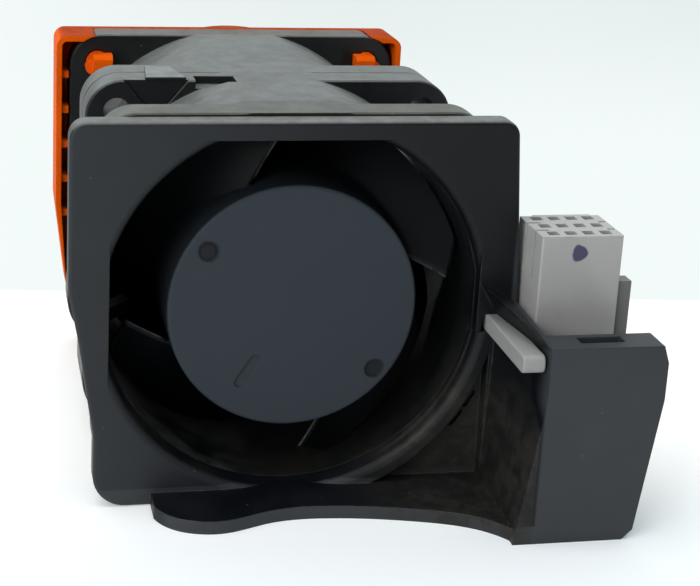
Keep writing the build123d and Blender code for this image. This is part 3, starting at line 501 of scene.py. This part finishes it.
# Turned or ground metal: fine lines, a slow stain, brighter edges
def makeMetal(name, look):
    material, tree = freshMaterial(name)
    place = objectPlace(tree)
    squeeze = addNode(tree, "ShaderNodeMapping", Vector=place, Scale=look["stretch"])
    lines = noise(tree, squeeze.outputs[0], *look["lineNoise"])
    stain = span(tree, noise(tree, place, *look["stainNoise"]), *look["stainSpan"])
    edge = useGroup(tree, edgeGroup, Place=place, Width=look["edge"] / 1000, Break=look["edgeBreak"])
    base = blend(tree, stain, look["dark"], look["light"])
    base = blend(tree, calc(tree, 'MULTIPLY', edge["Mask"], look["paleEdge"]), base, look["paleEdgeColour"])
    smooth, coarse = look["rough"] - look["roughShift"], look["rough"] + look["roughShift"]
    rough = span(tree, lines, *look["lineSpan"], smooth, coarse)
    finishSurface(tree, look, base, rough, lines, edge["Normal"])
    return material


steelLook = {
    "dark": (0.46, 0.47, 0.49, 1), "light": (0.6, 0.61, 0.63, 1), "paleEdgeColour": (0.75, 0.76, 0.78, 1),
    "stretch": (4, 0.4, 4), "lineNoise": (3.0, 3.0, 0.6), "lineSpan": (0.25, 0.75),
    "stainNoise": (0.25, 4.0, 0.6), "stainSpan": (0.35, 0.7), "edge": 0.1, "edgeBreak": 0.3, "paleEdge": 0.5,
    "rough": 0.3, "roughShift": 0.08, "metallic": 1.0, "bumpStrength": 0.5, "bumpDepth": 0.01, "ior": 1.5,
}
laminationLook = dict(
    steelLook, dark=(0.2, 0.21, 0.22, 1), light=(0.32, 0.33, 0.35, 1), stretch=(0.2, 8, 0.2), rough=0.45,
    bumpDepth=0.05)
brassLook = dict(
    steelLook, dark=(0.55, 0.38, 0.14, 1), light=(0.72, 0.54, 0.24, 1), paleEdgeColour=(0.85, 0.7, 0.4, 1))
contactLook = dict(
    brassLook, dark=(0.42, 0.37, 0.26, 1), light=(0.6, 0.56, 0.45, 1), stretch=(3, 3, 0.5))
magnetLook = dict(
    steelLook, dark=(0.04, 0.038, 0.038, 1), light=(0.07, 0.066, 0.066, 1), paleEdgeColour=(0.1, 0.1, 0.1, 1),
    rough=0.62, metallic=0.0)
wireLook = dict(
    steelLook, dark=(0.5, 0.19, 0.07, 1), light=(0.78, 0.34, 0.14, 1), paleEdgeColour=(0.9, 0.5, 0.25, 1),
    stretch=(0.3, 5, 5), rough=0.32, bumpDepth=0.12)

boardLook = {
    "mask": (0.02, 0.12, 0.05, 1), "trace": (0.05, 0.24, 0.09, 1), "cellScale": 0.35,
    "traceSpan": (0.06, 0.03), "roughSpan": (0, 1, 0.25, 0.35), "edge": 0.1, "edgeBreak": 0.4,
    "bumpStrength": 0.5, "bumpDepth": 0.03, "ior": 1.5,
}


def makeBoard(name, look):    # green solder mask with the copper traces showing through
    material, tree = freshMaterial(name)
    place = objectPlace(tree)
    cells = addNode(tree, "ShaderNodeTexVoronoi", {"feature": 'DISTANCE_TO_EDGE'}, Vector=place,
                    Scale=look["cellScale"])
    trace = span(tree, cells.outputs["Distance"], *look["traceSpan"])
    edge = useGroup(tree, edgeGroup, Place=place, Width=look["edge"] / 1000, Break=look["edgeBreak"])
    rough = span(tree, trace, *look["roughSpan"])
    finishSurface(tree, look, blend(tree, trace, look["mask"], look["trace"]), rough, trace, edge["Normal"])
    return material


materials = {
    "black_plastic": makePlastic("shroudPlastic", blackShroud, paint=hazeAndLightOnShroud),
    "fan_plastic": makePlastic("fanPlastic", blackFan, paint=dustInDuct, tintFilm=tintLedgeFilm),
    "impeller_plastic": makePlastic("impellerPlastic", blackImpeller, paint=paintHubLight),
    "grey_plastic": makePlastic("plugPlastic", greyPlug, paint=inkAndKeyShadeOnPlug),
    "bar": makePlastic("barPlastic", greyBar),
    "clip": makePlastic("clipPlastic", blackClip, tintFilm=tintLedgeFilm),
    "orange_plastic": makePlastic("orangePlastic", orangeFrame, paint=shadeOnFrameTop),
    "white_plastic": makePlastic("insulatorPlastic", whiteInsulator),
    "contact_metal": makeMetal("contactMetal", contactLook),
    "bright_steel": makeMetal("brightSteel", steelLook),
    "lamination_steel": makeMetal("laminationSteel", laminationLook),
    "magnet": makeMetal("magnetBlack", magnetLook),
    "brass": makeMetal("turnedBrass", brassLook),
    "copper_wire": makeMetal("copperWire", wireLook),
    "board": makeBoard("boardGreen", boardLook),
}
ownFinish = {"connector_key_bar": "bar", "joint_clip": "clip"}    # where one slot has two finishes


def dressNode(node, slotName):
    chosen = materials[ownFinish.get(node, slotName)]
    target = bpy.data.objects[node]
    if not target.material_slots:
        target.data.materials.append(chosen)
    for place in target.material_slots:
        place.material = chosen


for row in frame["record"]["subparts"]:
    dressNode(row["node"], row["material_slot"])
print("materials ready:", len(materials))

# Thin floors behind the two slots in the shroud's sunk corner, so that the table doesn't show through
slotFloor = {    # millimetres from the fan axis and the plate's front, degrees
    "slotRadius": 33.3, "axisHeight": 31.0, "angles": (-29.0, -35.4), "long": 4.2, "wide": 1.9,
    "front": 3.2, "thick": 0.25, "round": 0.06, "roundSteps": 2,
}


def makeSlotFloor(look, index, angle):
    turn = math.radians(angle)
    x = look["slotRadius"] * math.cos(turn)
    y = look["front"] + look["thick"] / 2
    z = look["slotRadius"] * math.sin(turn) + look["axisHeight"]
    bpy.ops.object.select_all(action='DESELECT')
    bpy.ops.mesh.primitive_cube_add(size=1, location=(0, 0, 0))
    piece = bpy.context.object
    piece.name = f"slot_floor_{index}"
    piece.scale = (look["wide"] / 1000, look["thick"] / 1000, look["long"] / 1000)
    piece.rotation_euler = (0, -turn, 0)
    piece.location = (x / 1000, y / 1000, z / 1000)
    bpy.ops.object.transform_apply(location=True, rotation=True, scale=True)
    soften = piece.modifiers.new("soften", 'BEVEL')
    soften.width = look["round"] / 1000
    soften.segments = look["roundSteps"]
    bpy.ops.object.modifier_apply(modifier="soften")
    piece.data.materials.append(materials["fan_plastic"])
    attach(piece, "module")


for index, angle in enumerate(slotFloor["angles"], 1):
    makeSlotFloor(slotFloor, index, angle)
print("slot floors ready")

floorLook = {
    "size": 8,    # metres
    "albedo": (0.86, 0.86, 0.86, 1), "far": (1, 1, 1, 1), "near": (0.45, 0.6, 0.68, 1),
    "nearYSpan": (20, -25), "awaySpan": (250, 700), "liftSpan": (0, 1, 0.30, 0.9),
}


# Matt white paper that glows a little to the camera and in reflections, more where the lamps don't reach
def makeFloor(look):
    bpy.ops.mesh.primitive_plane_add(size=look["size"])
    floor = bpy.context.object
    floor.name = "floor"
    material, tree = freshMaterial("floorPaper")
    path = addNode(tree, "ShaderNodeLightPath").outputs
    seen = calc(tree, 'MAXIMUM', path["Is Camera Ray"], path["Is Glossy Ray"])
    seen = calc(tree, 'MAXIMUM', seen, path["Is Transmission Ray"])
    place = objectPlace(tree)
    away = span(tree, vectorMath(tree, 'LENGTH', place)["Value"], *look["awaySpan"])
    # painted shade: the glow turns bluer and dimmer on the floor in front of the object
    tone = blend(tree, span(tree, split(tree, place)["Y"], *look["nearYSpan"]), look["far"], look["near"])
    tone = blend(tree, away, tone, look["far"])
    strength = times(tree, seen, span(tree, away, *look["liftSpan"]))
    matte = addNode(tree, "ShaderNodeBsdfDiffuse", Color=look["albedo"])
    glow = addNode(tree, "ShaderNodeEmission", Color=tone, Strength=strength)
    total = addNode(tree, "ShaderNodeAddShader")
    tree.links.new(matte.outputs[0], total.inputs[0])
    tree.links.new(glow.outputs[0], total.inputs[1])
    addNode(tree, "ShaderNodeOutputMaterial", Surface=total.outputs[0])
    floor.data.materials.append(material)


wallLook = {
    "left": (-0.6, 0.1608), "right": (0.6, 0.0263), "height": 1.2,    # metres
    "pale": (0.90, 0.965, 0.955, 1), "dull": (0.765, 0.825, 0.825, 1),
    "dullXSpan": (-60, 30), "dullZSpan": (30, 75), "cloudNoise": (0.02, 3.0, 0.5),
    "cloudSpan": (0.3, 0.7, 0.75, 1.0),
}


# A pale wall behind the object, clear from its back so that it hides nothing from there
def makeWall(look):
    bpy.ops.mesh.primitive_plane_add(size=1)
    wall = bpy.context.object
    wall.name = "wall"
    (x0, y0), (x1, y1) = look["left"], look["right"]
    corners = [(x0, y0, 0), (x1, y1, 0), (x0, y0, look["height"]), (x1, y1, look["height"])]
    for vertex, corner in zip(wall.data.vertices, corners):
        vertex.co = corner
    material, tree = freshMaterial("wallPaper")
    place = objectPlace(tree)
    axis = split(tree, place)
    cloud = span(tree, noise(tree, place, *look["cloudNoise"]), *look["cloudSpan"])
    shade = times(tree, span(tree, axis["X"], *look["dullXSpan"]), span(tree, axis["Z"], *look["dullZSpan"]),
                  cloud)
    glow = addNode(tree, "ShaderNodeEmission", Color=blend(tree, shade, look["pale"], look["dull"]))
    clear = addNode(tree, "ShaderNodeBsdfTransparent")
    mix = addNode(tree, "ShaderNodeMixShader")
    feed(tree, mix.inputs[0], addNode(tree, "ShaderNodeNewGeometry").outputs["Backfacing"])
    tree.links.new(glow.outputs[0], mix.inputs[1])
    tree.links.new(clear.outputs[0], mix.inputs[2])
    addNode(tree, "ShaderNodeOutputMaterial", Surface=mix.outputs[0])
    wall.data.materials.append(material)


worldLook = {"room": (1, 1, 1, 1), "roomStrength": 0.2, "behind": (0.885, 0.935, 0.935, 1)}


def makeWorld(look):    # soft light all round, and a pale backdrop for the camera alone
    world = bpy.data.worlds.new("studio")
    bpy.context.scene.world = world
    world.use_nodes = True
    tree = world.node_tree
    tree.nodes.clear()
    path = addNode(tree, "ShaderNodeLightPath").outputs
    room = addNode(tree, "ShaderNodeBackground", Color=look["room"], Strength=look["roomStrength"])
    behind = addNode(tree, "ShaderNodeBackground", Color=look["behind"], Strength=1.0)
    mix = addNode(tree, "ShaderNodeMixShader")
    feed(tree, mix.inputs[0], path["Is Camera Ray"])
    tree.links.new(room.outputs[0], mix.inputs[1])
    tree.links.new(behind.outputs[0], mix.inputs[2])
    addNode(tree, "ShaderNodeOutputWorld", Surface=mix.outputs[0])


lamps = [    # metres and watts
    {"name": "topSoft", "place": (-0.1, 0.1, 0.8), "aim": (0, 0.03, 0.03), "size": 0.8, "watts": 7.0},
    {"name": "leftSoft", "place": (-0.7, -0.6, 0.5), "aim": (0.02, 0, 0.03), "size": 0.6, "watts": 5.0},
]


def makeLamp(lamp):
    data = bpy.data.lights.new(lamp["name"], 'AREA')
    data.energy = lamp["watts"]
    data.size = lamp["size"]
    light = bpy.data.objects.new(lamp["name"], data)
    light.location = lamp["place"]
    light.rotation_mode = 'QUATERNION'
    light.rotation_quaternion = (Vector(lamp["aim"]) - Vector(lamp["place"])).to_track_quat('-Z', 'Y')
    bpy.context.scene.collection.objects.link(light)


makeFloor(floorLook)
makeWall(wallLook)
makeWorld(worldLook)
for lamp in lamps:
    makeLamp(lamp)
print("stage and lights ready")
